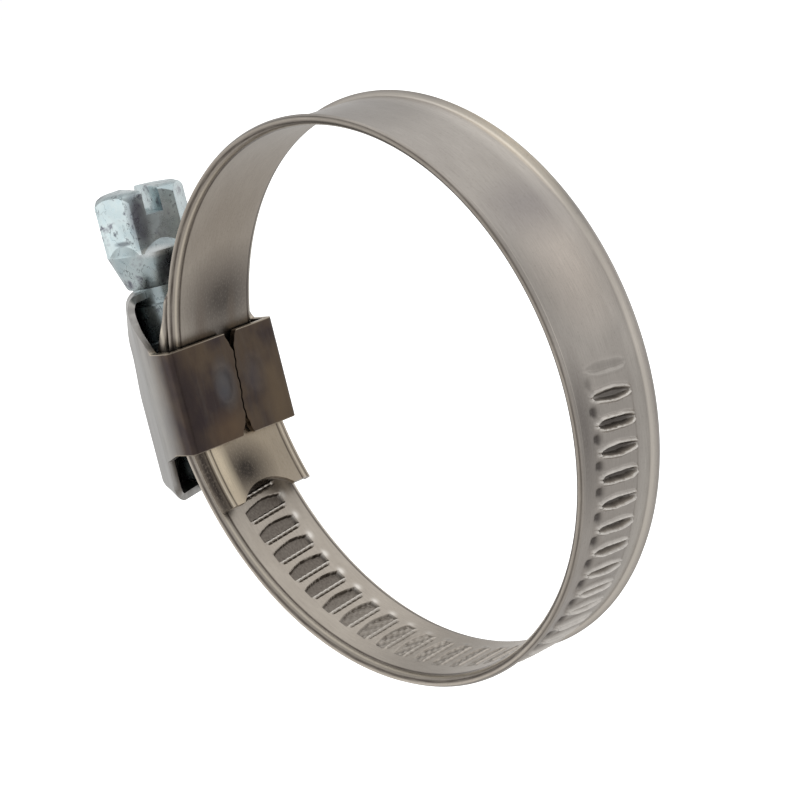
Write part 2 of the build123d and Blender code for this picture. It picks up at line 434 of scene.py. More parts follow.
def maths(tree, operation, first, second=0.0, third=0.0):
    """One arithmetic node."""
    return node(tree, "Math", {0: first, 1: second, 2: third}, operation=operation).outputs[0]


def part_of(tree, vector, axis):
    """One of a vector's three numbers."""
    return node(tree, "SeparateXYZ", {0: vector}).outputs[axis]


def remap(tree, value, low, high, new_low, new_high):
    """Maps one range of values to another, clamped."""
    return node(
        tree,
        "MapRange",
        {"Value": value, "From Min": low, "From Max": high, "To Min": new_low, "To Max": new_high},
    ).outputs[0]


def mix(tree, share, first, second):
    """Mixes two colours."""
    made = node(tree, "Mix", data_type="RGBA")
    for socket, value in zip((made.inputs[0], made.inputs[6], made.inputs[7]), (share, first, second)):
        if isinstance(value, bpy.types.NodeSocket):
            tree.links.new(value, socket)
        else:
            socket.default_value = value
    return made.outputs[2]


def stain(tree, colour, value, low, high, strength, tint):
    """Tints a colour by up to a strength as a value goes from low to high."""
    return mix(tree, remap(tree, value, low, high, 0.0, strength), colour, rgb(tint))


def scaled_stain_and_light(tree, colour, value, strength, tint):
    """Tints a colour by a value times a strength, for marks and for painted shade and highlights alike."""
    return mix(tree, maths(tree, "MULTIPLY", value, strength), colour, rgb(tint))


def blob(tree, place, centre, size, edge=0.6):
    """1 inside an ellipsoid, falling to 0 outside it."""
    mapped = node(
        tree,
        "Mapping",
        {"Vector": place, "Location": centre, "Scale": size},
        vector_type="TEXTURE",
    )
    distance = node(tree, "VectorMath", {0: mapped.outputs[0]}, operation="LENGTH").outputs["Value"]
    return remap(tree, distance, 1.0 + edge, 1.0 - edge, 0.0, 1.0)


def finish_metal(tree, colour, roughness, height, bump, distance=0.02):
    """Closes a metal material: Principled with a bump from a height."""
    raised = node(tree, "Bump", {"Height": height, "Strength": bump, "Distance": distance * MM})
    shader = node(
        tree,
        "BsdfPrincipled",
        {
            "Base Color": colour,
            "Metallic": 1.0,
            "Roughness": roughness,
            "Normal": raised.outputs[0],
        },
    )
    tree.links.new(shader.outputs[0], node(tree, "OutputMaterial").inputs[0])


def band_material():
    """Rolled stainless strip, with painted shade and painted highlights from the thread. Its attribute holds
    the place along, the place across and the side.
    """
    material, tree = new_material("band_strip")
    strip = node(tree, "Attribute", attribute_name="strip").outputs["Vector"]
    painted_light = node(tree, "Attribute", attribute_name="painted_light").outputs["Vector"]
    pressed = node(tree, "SeparateXYZ", {0: painted_light}).outputs
    across = maths(tree, "ABSOLUTE", part_of(tree, strip, 1))
    side = part_of(tree, strip, 2)
    grain = stretched_noise(tree, strip, (0.5, 16.0, 1.0), 6.0, 0.7)
    fine = stretched_noise(tree, strip, (2.0, 70.0, 1.0), 3.0, 0.6)
    cloud = stretched_noise(tree, strip, (0.22, 0.5, 1.0), 3.0, 0.5)
    speck = stretched_noise(tree, strip, (4.0, 7.0, 4.0), 4.0, 0.6)
    outer = mix(tree, cloud, *map(rgb, OUTER_STEEL))
    inner = mix(tree, cloud, *map(rgb, INNER_STEEL))
    colour = mix(tree, side, inner, outer)
    patchy = remap(tree, speck, 0.2, 0.5, 0.6, 1.0)
    # Marks on the strip, painted highlights and painted shadows among them
    for centre, size, tint, share in STRIP_MARKS_AND_PAINTED_LIGHT:
        spot = maths(tree, "MULTIPLY", blob(tree, strip, centre, size, MARK_EDGE), patchy)
        colour = scaled_stain_and_light(tree, colour, spot, share, tint)
    colour = stain(tree, colour, grain, 0.3, 0.7, 0.35, GRAIN_DARK)
    colour = stain(tree, colour, speck, 0.55, 0.8, 0.35, SPECK_DARK)
    # Painted shade in the thread's grooves, corners, pockets and creases, and painted highlights on its
    # rims, bars and lands
    colour = scaled_stain_and_light(tree, colour, pressed[0], 0.8, GROOVE_PAINTED_SHADE)
    colour = scaled_stain_and_light(tree, colour, pressed[1], remap(tree, speck, 0.3, 0.6, 0.75, 1.0), POCKET_PAINTED_SHADE)
    colour = scaled_stain_and_light(tree, colour, pressed[2], 0.75, RIM_PAINTED_HIGHLIGHT)
    # Painted shade and painted highlight lines on the lips' bends
    for middle, half, face, tint, share in EDGE_PAINTED_LIGHT_LINES:
        away = maths(tree, "ABSOLUTE", maths(tree, "SUBTRACT", across, middle))
        line = remap(tree, away, half, 0.3 * half, 0.0, share)
        line = maths(tree, "MULTIPLY", line, remap(tree, grain, 0.25, 0.6, 0.4, 1.0))
        colour = scaled_stain_and_light(tree, colour, line, remap(tree, side, 1.0 - face, face, 0.0, 1.0), tint)
    roughness = remap(tree, grain, 0.2, 0.8, 0.28, 0.42)
    height = maths(tree, "ADD", maths(tree, "MULTIPLY", grain, 0.6), maths(tree, "MULTIPLY", fine, 0.4))
    finish_metal(tree, colour, roughness, height, 0.25)
    return material


def housing_material():
    """Stainless sheet with heat tints on the flaps. Its attribute holds x, y and z in millimetres."""
    material, tree = new_material("housing_sheet")
    place = node(tree, "Attribute", attribute_name="place").outputs["Vector"]
    streak = stretched_noise(tree, place, (3.0, 3.0, 0.25), 5.0, 0.65)
    cloud = stretched_noise(tree, place, (0.35, 0.35, 0.3), 3.0, 0.5)
    patch = stretched_noise(tree, place, (0.9, 0.9, 0.3), 4.0, 0.55)
    x = part_of(tree, place, 0)
    plain = mix(tree, cloud, *map(rgb, SHEET_STEEL))
    tinted = mix(tree, remap(tree, cloud, 0.4, 0.6, 0.0, 1.0), *map(rgb, HEAT_TINTS))
    heat = remap(tree, x, HEAT_FROM_X, HEAT_TO_X, 0.0, 1.0)
    colour = mix(tree, heat, plain, tinted)
    colour = stain(tree, colour, streak, 0.5, 0.75, 0.25, STREAK_DARK)
    colour = scaled_stain_and_light(tree, colour, heat, remap(tree, patch, 0.45, 0.7, 0.0, 0.2), HEAT_GOLD)
    # Painted highlight along the straps' cut edges, only on the straps
    middle, half = (STRAP_HIGH + STRAP_LOW) / 2, (STRAP_HIGH - STRAP_LOW) / 2
    away = maths(tree, "ABSOLUTE", maths(tree, "SUBTRACT", part_of(tree, place, 2), middle))
    cut = remap(tree, away, half - CUT_EDGE, half, 0.0, 0.8)
    on_straps = remap(tree, x, WINDOW_X - CUT_FADE, WINDOW_X, 0.0, 1.0)
    colour = scaled_stain_and_light(tree, colour, cut, on_straps, STRAP_EDGE_HIGHLIGHT)
    for centre, size, tint, share in FLAP_TINTS:
        colour = scaled_stain_and_light(tree, colour, blob(tree, place, centre, size), share, tint)
    roughness = remap(tree, streak, 0.2, 0.8, 0.3, 0.45)
    finish_metal(tree, colour, roughness, streak, 0.2)
    return material


def screw_material():
    """Blue-white zinc plate."""
    material, tree = new_material("screw_zinc")
    place = node(tree, "Attribute", attribute_name="place").outputs["Vector"]
    cloud = stretched_noise(tree, place, (0.6, 0.6, 0.6), 4.0, 0.6)
    pits = stretched_noise(tree, place, (1.2, 1.2, 1.2), 4.0, 0.6)
    lines = stretched_noise(tree, place, (0.5, 0.5, 0.35), 4.0)
    colour = mix(tree, remap(tree, cloud, 0.35, 0.65, 0.0, 1.0), *map(rgb, ZINC))
    colour = stain(tree, colour, pits, 0.6, 0.68, 0.75, PIT_DARK)
    wrinkle = maths(tree, "ABSOLUTE", maths(tree, "SUBTRACT", lines, 0.5))
    colour = stain(tree, colour, wrinkle, 0.006, 0.001, 0.8, WRINKLE_DARK)
    colour = stain(tree, colour, cloud, 0.56, 0.66, 0.55, ZINC_VIOLET)
    # Marks on the screw, with a painted highlight on the collar's rim and a painted shadow over the worm
    # inside the housing
    for centre, size, tint, share in SCREW_MARKS_AND_PAINTED_LIGHT:
        colour = scaled_stain_and_light(tree, colour, blob(tree, place, centre, size, SCREW_MARK_EDGE), share, tint)
    roughness = remap(tree, pits, 0.3, 0.7, 0.22, 0.4)
    finish_metal(tree, colour, roughness, pits, 0.3, 0.05)
    return material


# Band


def strip_section():
    """The strip's section as matched inner and outer points: (outward, across), from edge to edge."""
    flat = HALF_WIDTH - (BEND_INNER * math.sin(math.radians(BEND_ANGLE)))
    flat -= BEND_LENGTH * math.cos(math.radians(BEND_ANGLE))
    count = round(2 * PRESSED_HALF / COLUMN_STEP)
    middle = [-PRESSED_HALF + index * COLUMN_STEP for index in range(count + 1)]
    side_steps = np.linspace(PRESSED_HALF, flat, SIDE_COLUMNS + 1)[1:]
    inner_half = [(0.0, y) for y in side_steps]
    outer_half = [(STRIP, y) for y in side_steps]
    for angle in np.linspace(0.0, BEND_ANGLE, BEND_COLUMNS + 1)[1:]:
        sine, cosine = math.sin(math.radians(angle)), math.cos(math.radians(angle))
        inner_half.append((BEND_INNER * (1.0 - cosine), flat + BEND_INNER * sine))
        outer_half.append((BEND_INNER - (BEND_INNER - STRIP) * cosine, flat + (BEND_INNER - STRIP) * sine))
    along = np.array((math.sin(math.radians(BEND_ANGLE)), math.cos(math.radians(BEND_ANGLE))))
    across = np.array((along[1], -along[0]))
    inner_end, outer_end = np.array(inner_half[-1]), np.array(outer_half[-1])
    for angle in (0.0, 45.0, 90.0):
        sine, cosine = math.sin(math.radians(angle)), math.cos(math.radians(angle))
        reach = along * (BEND_LENGTH - EDGE_ROUND * (1.0 - sine))
        inset = across * EDGE_ROUND * (1.0 - cosine)
        inner_half.append(tuple(inner_end + reach + inset))
        outer_half.append(tuple(outer_end + reach - inset))
    inner = [(r, -y) for r, y in reversed(inner_half)] + [(0.0, y) for y in middle] + inner_half
    outer = [(r, -y) for r, y in reversed(outer_half)] + [(STRIP, y) for y in middle] + outer_half
    return np.array(inner), np.array(outer)


def impressions(angle, across):
    """Outward shift of the inner and outer surface, and the painted shade and painted highlight on each.

    Outside, each thread groove is a pointed lens between two raised rims, and the land between two
    grooves has a deep corner. Inside, each land carries a straight bar and a thin crease beside an
    arched pocket. Jitter, wave and roughness make each one a little different, and are fixed patterns.
    """
    phase = (angle - 180.0) / PITCH_ANGLE + across * math.tan(math.radians(SLANT)) / PITCH
    number = np.round(phase)
    from_groove = np.abs(phase - number) * PITCH
    jitter = np.sin(number * 12.9898) * np.cos(number * 4.1414)
    wave = 0.025 * np.sin(across * 2.6 + number * 2.7) + 0.01 * np.sin(across * 6.3 + number * 1.9)
    width = np.abs(across)
    lens = np.sqrt(np.clip(1.0 - ((across - LENS_SHIFT) / LENS_HALF) ** 2, 0.0, 1.0))
    ends = 1.0 - smooth(width, LENS_HALF, LENS_END)
    half = GROOVE_HALF * lens
    rim = peak(from_groove + wave - half, RIM_AWAY, RIM_WIDTH) * ends
    sunk = (1.0 - smooth(from_groove + wave, half * 0.4, half + 0.08)) * lens
    corner = peak(from_groove, CORNER_AWAY, CORNER_SIZE[0]) * peak(across, CORNER_ACROSS, CORNER_SIZE[1])
    level = smooth(from_groove, LAND_FROM, LAND_TO) * ends
    fade = smooth(angle, TIP_ANGLE + THREAD_FADE_IN[0], TIP_ANGLE + THREAD_FADE_IN[1])
    fade = fade * (1.0 - smooth(angle, THREAD_END_ANGLE - THREAD_FADE_OUT, THREAD_END_ANGLE))
    outer = RIM_HEIGHT * rim - GROOVE_DEPTH * sunk + LAND_HEIGHT * level - CORNER_DEPTH * corner
    outer = outer * fade
    share = phase - np.floor(phase)
    arch = ARCH_START + ARCH_RISE * (across / ARCH_HALF) ** 2 + ARCH_JITTER * jitter
    pocket = smooth(share + wave * 0.3, arch, arch + POCKET_SLOPE)
    pocket = pocket * (1.0 - smooth(share, *POCKET_STOP)) * (1.0 - smooth(width, *POCKET_ENDS))
    bar = peak(share, BAR_AT, BAR_WIDTH) * (1.0 - smooth(width, *BAR_ENDS))
    crease = peak(share, CREASE_AT, CREASE_WIDTH) * (1.0 - smooth(width, *CREASE_ENDS))
    worn = smooth(angle, WORN_FROM, WORN_TO)
    rough = np.sin(across * 5.3 + number * 3.3) * np.sin(phase * 17.0 + across * 2.1)
    rough = rough + 0.7 * np.sin(across * 11.7 - number * 1.3) * np.sin(phase * 31.0 - across * 4.3)
    rough = rough * worn * (0.2 + 0.8 * pocket) * ends
    glint = peak(share, GLINT_AT, GLINT_SIZE[0]) * peak(across, GLINT_ACROSS, GLINT_SIZE[1])
    notch_shade = glint**3 * smooth(angle, NOTCH_SHADE_FROM, NOTCH_SHADE_TO)
    outline = 4.0 * pocket * (1.0 - pocket)
    depth = POCKET_DEPTH * pocket * (1.0 - 0.72 * worn) + CREASE_DEPTH * crease * (1.0 - 0.4 * worn)
    inner = (depth - BAR_HEIGHT * bar + ROUGH_HEIGHT * rough) * fade
    # Painted shade for the grooves, corners, pockets, pocket outlines, creases and notches, and painted
    # highlights for the rims, bars and glints; the rubbed spots get both
    painted_shade_out = np.clip(sunk * 1.2 + corner * 1.2, 0.0, 1.0) * fade
    painted_shade_in = pocket * (0.8 - 0.62 * worn) + (0.5 - 0.2 * worn) * outline + crease * (1.0 - 0.5 * worn)
    painted_shade_in = np.clip(painted_shade_in + 0.3 * np.clip(rough, 0.0, 1.0) + notch_shade, 0.0, 1.0) * fade
    painted_highlight_out = np.clip(rim, 0.0, 1.0) * fade
    painted_highlight_in = (bar + 1.3 * glint) * (1.0 - 0.7 * worn) + 0.25 * np.clip(-rough, 0.0, 1.0)
    painted_highlight_in = np.clip(painted_highlight_in, 0.0, 1.0) * fade
    return inner, outer, painted_shade_out, painted_shade_in, painted_highlight_out, painted_highlight_in


def arc_length(angle):
    """Place along the band in millimetres, 0 under the worm."""
    first = np.minimum(angle, BOTTOM_ANGLE) - 180.0
    second = np.maximum(angle, BOTTOM_ANGLE) - BOTTOM_ANGLE
    return np.radians(first) * FREE_RADIUS + np.radians(second) * RING_RADIUS


def band_point(angle, outward, across, radius=None):
    """Points on the band's line: round the mesh centre as far as the bottom, then round the ring's.

    With a radius given, the line is an arc of it round the mesh centre all the way.
    """
    before = angle < BOTTOM_ANGLE
    lift = np.where(before, MESH_Z, 0.0) if radius is None else MESH_Z
    base = np.where(before, FREE_RADIUS, RING_RADIUS) if radius is None else radius
    reach = base + outward
    x = MESH_X + reach * np.cos(np.radians(angle))
    z = lift + reach * np.sin(np.radians(angle))
    return np.stack([x, across, z], axis=-1)


def loop_faces(rows, half):
    """Quads of a closed solid whose rows are an inner and an outer line of half points each."""
    faces = []
    width = 2 * half
    for row in range(rows - 1):
        a, b = row * width, (row + 1) * width
        for column in range(half - 1):
            faces.append((a + column, a + column + 1, b + column + 1, b + column))
            o = half + column
            faces.append((a + o + 1, a + o, b + o, b + o + 1))
        faces.append((a + half, a, b, b + half))
        faces.append((a + half - 1, a + width - 1, b + width - 1, b + half - 1))
    last = (rows - 1) * width
    for column in range(half - 1):
        faces.append((column + 1, column, half + column, half + column + 1))
        faces.append((last + column, last + column + 1, last + half + column + 1, last + half + column))
    return faces


def strip_grids(angles, widen=0.0):
    """A stretch of strip as grids of one row an angle: angle, outward, across, and whether outside."""
    inner, outer = strip_section()
    half = len(inner)
    outward, across = np.concatenate([inner, outer]).T
    across = across + widen * np.sign(across) * smooth(np.abs(across), *WIDEN_OVER)
    outside = np.arange(2 * half) >= half
    return np.broadcast_arrays(np.asarray(angles, float)[:, None], outward, across, outside)


def close_strip(name, grids, painted_light, material, start=0.0, shift=0.0, radius=None):
    """A piece of band from its grids, with its material's numbers at each point."""
    angle, outward, across, outside = grids
    points = band_point(angle, outward, across + shift, radius)
    faces = loop_faces(len(angle), angle.shape[1] // 2)
    piece = make_object(name, points.reshape(-1, 3), faces, material)
    set_attribute(piece, "strip", np.stack([start + arc_length(angle), across, outside], axis=-1))
    # The thread's painted shade and painted highlights, for the material
    set_attribute(piece, "painted_light", np.stack(painted_light, axis=-1))
    return piece


def threaded_piece(name, angles, material):
    """A stretch of the band over the given angles, pressed by the thread as far as that goes."""
    angle, outward, across, outside = strip_grids(angles)
    inward, outer, painted_shade_out, painted_shade_in, painted_highlight_out, painted_highlight_in = impressions(angle, across)
    outward = outward + np.where(outside, outer, inward)
    if angles[0] <= TIP_ANGLE:
        reach = np.radians(angle - TIP_ANGLE) * FREE_RADIUS
        across = across * (1.0 - TIP_ROUND * (1.0 - smooth(reach, *TIP_ROUND_OVER)))
        across = across * (1.0 - TIP_TAPER * (1.0 - smooth(reach, *TIP_TAPER_OVER)))
    lean = 1.0 - smooth(angle, *(TIP_ANGLE + degrees for degrees in TIP_LEAN_ANGLES))
    outward = outward - TIP_LEAN * lean
    # Painted shade and painted highlights for the band's material
    painted_light = [np.where(outside, painted_shade_out, 0.0), np.where(outside, 0.0, painted_shade_in)]
    painted_light.append(np.where(outside, painted_highlight_out, painted_highlight_in))
    return close_strip(name, (angle, outward, across, outside), painted_light, material)


def row_angles(start, stop):
    """Angles of a piece's rows: close where the thread is pressed, and closer still at its ends."""
    angles = [start, start + SEAM_ROW_ANGLE]
    here = start + SEAM_ROW_ANGLE
    while here < stop - SEAM_ROW_ANGLE:
        step = PITCH_ANGLE / PRESSED_ROWS if here < THREAD_END_ANGLE else PLAIN_ROW_ANGLE
        here = min(here + step, stop - SEAM_ROW_ANGLE)
        angles.append(here)
    angles.append(stop)
    return angles


def tongue_piece(material):
    """The plain end's tongue below the housing. Its lines are shortened to cut an arc out of its end."""
    rows = np.linspace(TONGUE_FIRST, TONGUE_ANGLE, TONGUE_ROWS)
    angle, outward, across, outside = strip_grids(rows, TONGUE_WIDEN)
    depth = np.sqrt(np.clip(TONGUE_ARC_RADIUS**2 - across**2, 0.0, None))
    depth = np.clip(depth - (TONGUE_ARC_RADIUS - TONGUE_ARC_REACH), 0.0, None)
    end = TONGUE_ANGLE - np.degrees(depth / TONGUE_RADIUS)
    angle = TONGUE_FIRST + (angle - TONGUE_FIRST) * (end - TONGUE_FIRST) / (TONGUE_ANGLE - TONGUE_FIRST)
    grids = (angle, outward, across, outside)
    painted_light = [np.zeros_like(angle)] * 3
    radius = TONGUE_RADIUS - TONGUE_LIFT
    return close_strip("band_tongue", grids, painted_light, material, TONGUE_MARKS_AT, TONGUE_SHIFT, radius)


def make_band(material):
    """The whole band: a rigid tail, a piece round every hinge, the plain end and the tongue."""
    hinges = [hinge_angle(name) for name in BENDS]
    end_angle = 540.0 - math.degrees(math.asin(END_Z / RING_RADIUS))
    middles = [(a + b) / 2.0 for a, b in zip(hinges, hinges[1:] + [end_angle])]
    cuts = [2.0 * hinges[0] - middles[0]] + middles
    spans = [JOINTS[name]["child"] for name in BENDS]
    tail = threaded_piece("band_tail", row_angles(TIP_ANGLE, cuts[0]), material)
    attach(tail, "free_end")
    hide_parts("band_free_end")
    nodes = {name: frame["record"]["behaviour"]["bodies"][name][0] for name in spans}
    for index, name in enumerate(BENDS):
        start, stop = cuts[index], cuts[index + 1]
        piece = threaded_piece(f"band_ring_{index + 1:02d}", row_angles(start, stop), material)
        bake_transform(piece)
        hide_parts(nodes[spans[index]])
    top = threaded_piece("band_plain_end", row_angles(cuts[-1], end_angle), material)
    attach(top, spans[-1])
    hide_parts(nodes[spans[-1]])
    tongue = tongue_piece(material)
    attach(tongue, "clamp_housing")
    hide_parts("band_fixed_end")


# Housing


def rounded_line(corners, rounds, steps=10):
    """An open line through corners in the XY plane, each inner corner turned into an arc."""
    points = [np.array(corners[0])]
    for before, corner, after, radius in zip(corners, corners[1:], corners[2:], rounds):
        corner = np.array(corner)
        back = np.array(before) - corner
        ahead = np.array(after) - corner
        back, ahead = back / np.linalg.norm(back), ahead / np.linalg.norm(ahead)
        half = math.acos(float(back @ ahead)) / 2.0
        middle = (back + ahead) / np.linalg.norm(back + ahead)
        centre = corner + middle * radius / math.sin(half)
        first, last = corner + back * radius / math.tan(half), corner + ahead * radius / math.tan(half)
        for share in np.linspace(0.0, 1.0, steps + 1):
            arm = (first - centre) * (1.0 - share) + (last - centre) * share
            points.append(centre + arm * radius / np.linalg.norm(arm))
    points.append(np.array(corners[-1]))
    return np.array(points)


def sheet_outline():
    """The outer line of the folded sheet from seam to seam: place along it, x and y."""
    corners = [(FLAP_X, 0.0), (FLAP_X, FLAP_Y), (SHOULDER_X, FLAP_Y), (COVER_X, COVER_Y)]
    corners += [(x, -y) for x, y in reversed(corners)]
    line = rounded_line(corners, FOLD_ROUNDS + FOLD_ROUNDS[::-1])
    steps = np.hypot(*np.diff(line, axis=0).T)
    return np.concatenate([[0.0], np.cumsum(steps)]), line[:, 0], line[:, 1]


LINE_AT, LINE_X, LINE_Y = sheet_outline()
LINE_LENGTH = LINE_AT[-1]


def curl_lengths(place, hole):
    """How far the sheet runs on past the start of its end curl, to end at a hole round the screw."""
    x, y = np.interp(place, LINE_AT, LINE_X), np.interp(place, LINE_AT, LINE_Y)
    return END_CURL * (math.pi / 2 - 1.0) + np.hypot(x - WORM_X, y) - hole


def sheet_point(place, level):
    """The sheet's outer face at a place along its outline and a length up it."""
    x, y = np.interp(place, LINE_AT, LINE_X), np.interp(place, LINE_AT, LINE_Y)
    high, low = COVER_HIGH - END_CURL, COVER_LOW + END_CURL
    past = np.maximum(level - high, low - level)
    past = np.clip(past, 0.0, None)
    turned = np.minimum(past / END_CURL, math.pi / 2)
    inward = END_CURL * (1.0 - np.cos(turned)) + np.clip(past - END_CURL * math.pi / 2, 0.0, None)
    rise = END_CURL * np.sin(turned)
    z = np.clip(level, low, high) + np.where(level > high, rise, -rise)
    taper = sum(depth * smooth(z, start, stop) for depth, start, stop in BACK_TAPERS)
    inward = inward + smooth(-x, BACK_FROM, BACK_TO) * taper
    reach = np.hypot(x - WORM_X, y)
    share = 1.0 - np.clip(inward / reach, 0.0, MOST_INWARD)
    x, y = WORM_X + (x - WORM_X) * share, y * share
    edge = FLAP_Y - FOLD_ROUNDS[0]
    seam = SEAM_LOW_Y + (SEAM_HIGH_Y - SEAM_LOW_Y) * (z - STRAP_LOW) / (STRAP_HIGH - STRAP_LOW)
    seam = seam + 0.05 * np.sin(z * 2.3) + 0.03 * np.sin(z * 7.1)
    near = np.maximum(z - (STRAP_HIGH - NOTCH_DEPTH), (STRAP_LOW + NOTCH_DEPTH) - z)
    gap = SEAM_GAP + NOTCH_HALF * np.clip(near / NOTCH_DEPTH, 0.0, 1.0) ** NOTCH_CURVE
    right, left = seam + gap, seam - gap
    is_right = place < edge
    is_left = place > LINE_LENGTH - edge
    y = np.where(is_right, edge - (edge - place) * (edge - right) / edge, y)
    y = np.where(is_left, -edge + (edge - (LINE_LENGTH - place)) * (edge + left) / edge, y)
    on_flap = 1.0 - smooth(-x, FLAP_FROM, FLAP_TO)
    for weld_y, depth in WELDS:
        away = np.hypot((y - weld_y) / WELD_HALF_Y, (z - WELD_Z) / WELD_HALF_Z)
        dent = depth * (1.0 - smooth(away, 0.55, 1.0)) - 0.5 * depth * peak(away, 1.05, 0.16)
        x = x - dent * on_flap
    x = x - FLAP_WAVE * on_flap * (1.0 + np.sin(y * 1.1 + 0.6)) / 2
    return np.stack([x, y, z], axis=-1)


def window_edges():
    """For half the outline: places, and the lowest and highest length of the sheet at each."""
    half = LINE_LENGTH / 2
    order = slice(0, np.searchsorted(LINE_AT, half) + 1)
    corners = (WINDOW_X, WINDOW_HIGH_X, WINDOW_LOW_X)
    at = {x: float(np.interp(-x, -LINE_X[order], LINE_AT[order])) for x in corners}
    places = [np.arange(0.0, half, SHEET_STEP), [half]]
    places += [np.linspace(at[x], at[x] + WINDOW_SLOPE, WINDOW_COLUMNS) for x in corners[1:]]
    places = np.unique(np.concatenate(places))
    full_high = COVER_HIGH - END_CURL + curl_lengths(places, NECK_RADIUS)
    full_low = COVER_LOW + END_CURL - curl_lengths(places, PILOT_HOLE)
    high = np.interp(places, [0.0, at[WINDOW_X], at[WINDOW_HIGH_X]], [STRAP_HIGH, STRAP_HIGH, WINDOW_HIGH_Z])
    low = np.interp(places, [0.0, at[WINDOW_X], at[WINDOW_LOW_X]], [STRAP_LOW, STRAP_LOW, WINDOW_LOW_Z])
    up = np.clip((places - at[WINDOW_HIGH_X]) / WINDOW_SLOPE, 0.0, 1.0)
    down = np.clip((places - at[WINDOW_LOW_X]) / WINDOW_SLOPE, 0.0, 1.0)
    return places, low + (full_low - low) * down, high + (full_high - high) * up


def make_housing(material):
    """One folded sheet: cover with curled ends, straps, and two flaps that meet at a seam."""
    half, low, high = window_edges()
    place = np.concatenate([half, LINE_LENGTH - half[-2::-1]])
    low, high = np.concatenate([low, low[-2::-1]]), np.concatenate([high, high[-2::-1]])
    rows = np.linspace(0.0, 1.0, SHEET_ROWS)[:, None]
    level = low + (high - low) * rows
    place = np.broadcast_to(place, level.shape)
    outer = sheet_point(place, level)
    near = np.clip(place, SHEET_NUDGE, LINE_LENGTH - SHEET_NUDGE)
    along = sheet_point(near + SHEET_NUDGE, level) - sheet_point(near - SHEET_NUDGE, level)
    upward = sheet_point(near, level + SHEET_NUDGE) - sheet_point(near, level - SHEET_NUDGE)
    normal = np.cross(along, upward)
    normal = normal / np.linalg.norm(normal, axis=-1, keepdims=True)
    inner = outer + normal * SHEET * (1.0 if normal[0, 0, 0] < 0.0 else -1.0)
    verts, faces = shell(outer, inner)
    piece = make_object("housing_sheet", verts, faces, material)
    bevel_edges(piece, SHEET_BEVEL, 2)
    place_attribute(piece)
    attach(piece, "clamp_housing")
    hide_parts("housing")


def shell(outer, inner):
    """Points and quads of a closed sheet between two matched grids."""
    rows, columns = outer.shape[:2]
    index = np.arange(rows * columns).reshape(rows, columns)
    under = index + rows * columns
    faces = []
    for row in range(rows - 1):
        for column in range(columns - 1):
            loop = ((row, column), (row, column + 1), (row + 1, column + 1), (row + 1, column))
            faces.append([int(index[spot]) for spot in loop])
            faces.append([int(under[spot]) for spot in reversed(loop)])
    rim = [(0, column) for column in range(columns)]
    rim += [(row, columns - 1) for row in range(1, rows)]
    rim += [(rows - 1, column) for column in range(columns - 2, -1, -1)]
    rim += [(row, 0) for row in range(rows - 2, -1, -1)]
    for first, second in zip(rim, rim[1:]):
        faces.append([int(index[second]), int(index[first]), int(under[first]), int(under[second])])
    return np.concatenate([outer.reshape(-1, 3), inner.reshape(-1, 3)]), faces


def bevel_edges(piece, width, segments, angle=50.0):
    """Rounds the sharp edges of a closed piece and sets its normals again."""
    work = bmesh.new()
    work.from_mesh(piece.data)
    bmesh.ops.recalc_face_normals(work, faces=work.faces)
    least = math.radians(angle)
    sharp = [edge for edge in work.edges if edge.is_manifold and edge.calc_face_angle() > least]
    bmesh.ops.bevel(
        work,
        geom=sharp,
        offset=width * MM,
        segments=segments,
        profile=0.5,
        affect="EDGES",
        clamp_overlap=True,
    )
    work.to_mesh(piece.data)
    work.free()
    piece.data.shade_smooth()
    piece.data.set_sharp_from_angle(angle=math.radians(60.0))


def place_attribute(piece):
    """Stores each point's place in millimetres for the material."""
    count = len(piece.data.vertices)
    flat = np.empty(count * 3, np.float32)
    piece.data.vertices.foreach_get("co", flat)
    set_attribute(piece, "place", flat.reshape(-1, 3) / MM)


# Screw


def lathe(name, profile, material, steps=96):
    """A closed solid turned about the screw's axis from (radius, z) points, both ends on the axis."""
    verts = [(WORM_X, 0.0, profile[0][1])]
    for radius, z in profile[1:-1]:
        for step in range(steps):
            turn = 2.0 * math.pi * step / steps
            verts.append((WORM_X + radius * math.cos(turn), radius * math.sin(turn), z))
    verts.append((WORM_X, 0.0, profile[-1][1]))
    faces = []
    rings = len(profile) - 2
    last = len(verts) - 1
    for step in range(steps):
        after = (step + 1) % steps
        faces.append((0, 1 + after, 1 + step))
        top = 1 + (rings - 1) * steps
        faces.append((last, top + step, top + after))
        for ring in range(rings - 1):
            base = 1 + ring * steps
            faces.append((base + step, base + after, base + steps + after, base + steps + step))
    return make_object(name, verts, faces, material)


def prism(name, corners, low, high, material):
    """A closed upright prism."""
    count = len(corners)
    verts = [(x, y, low) for x, y in corners] + [(x, y, high) for x, y in corners]
    faces = [tuple(reversed(range(count))), tuple(range(count, 2 * count))]
    for index in range(count):
        after = (index + 1) % count
        faces.append((index, after, count + after, count + index))
    return make_object(name, verts, faces, material)


def combine(piece, other, operation):
    """Joins, cuts or trims a piece with another solid, which is then removed."""
    change = piece.modifiers.new("combine", "BOOLEAN")
    change.operation = operation
    change.solver = "EXACT"
    change.object = other
    graph = bpy.context.evaluated_depsgraph_get()
    result = bpy.data.meshes.new_from_object(piece.evaluated_get(graph))
    piece.modifiers.clear()
    piece.data = result
    bpy.data.objects.remove(other, do_unlink=True)


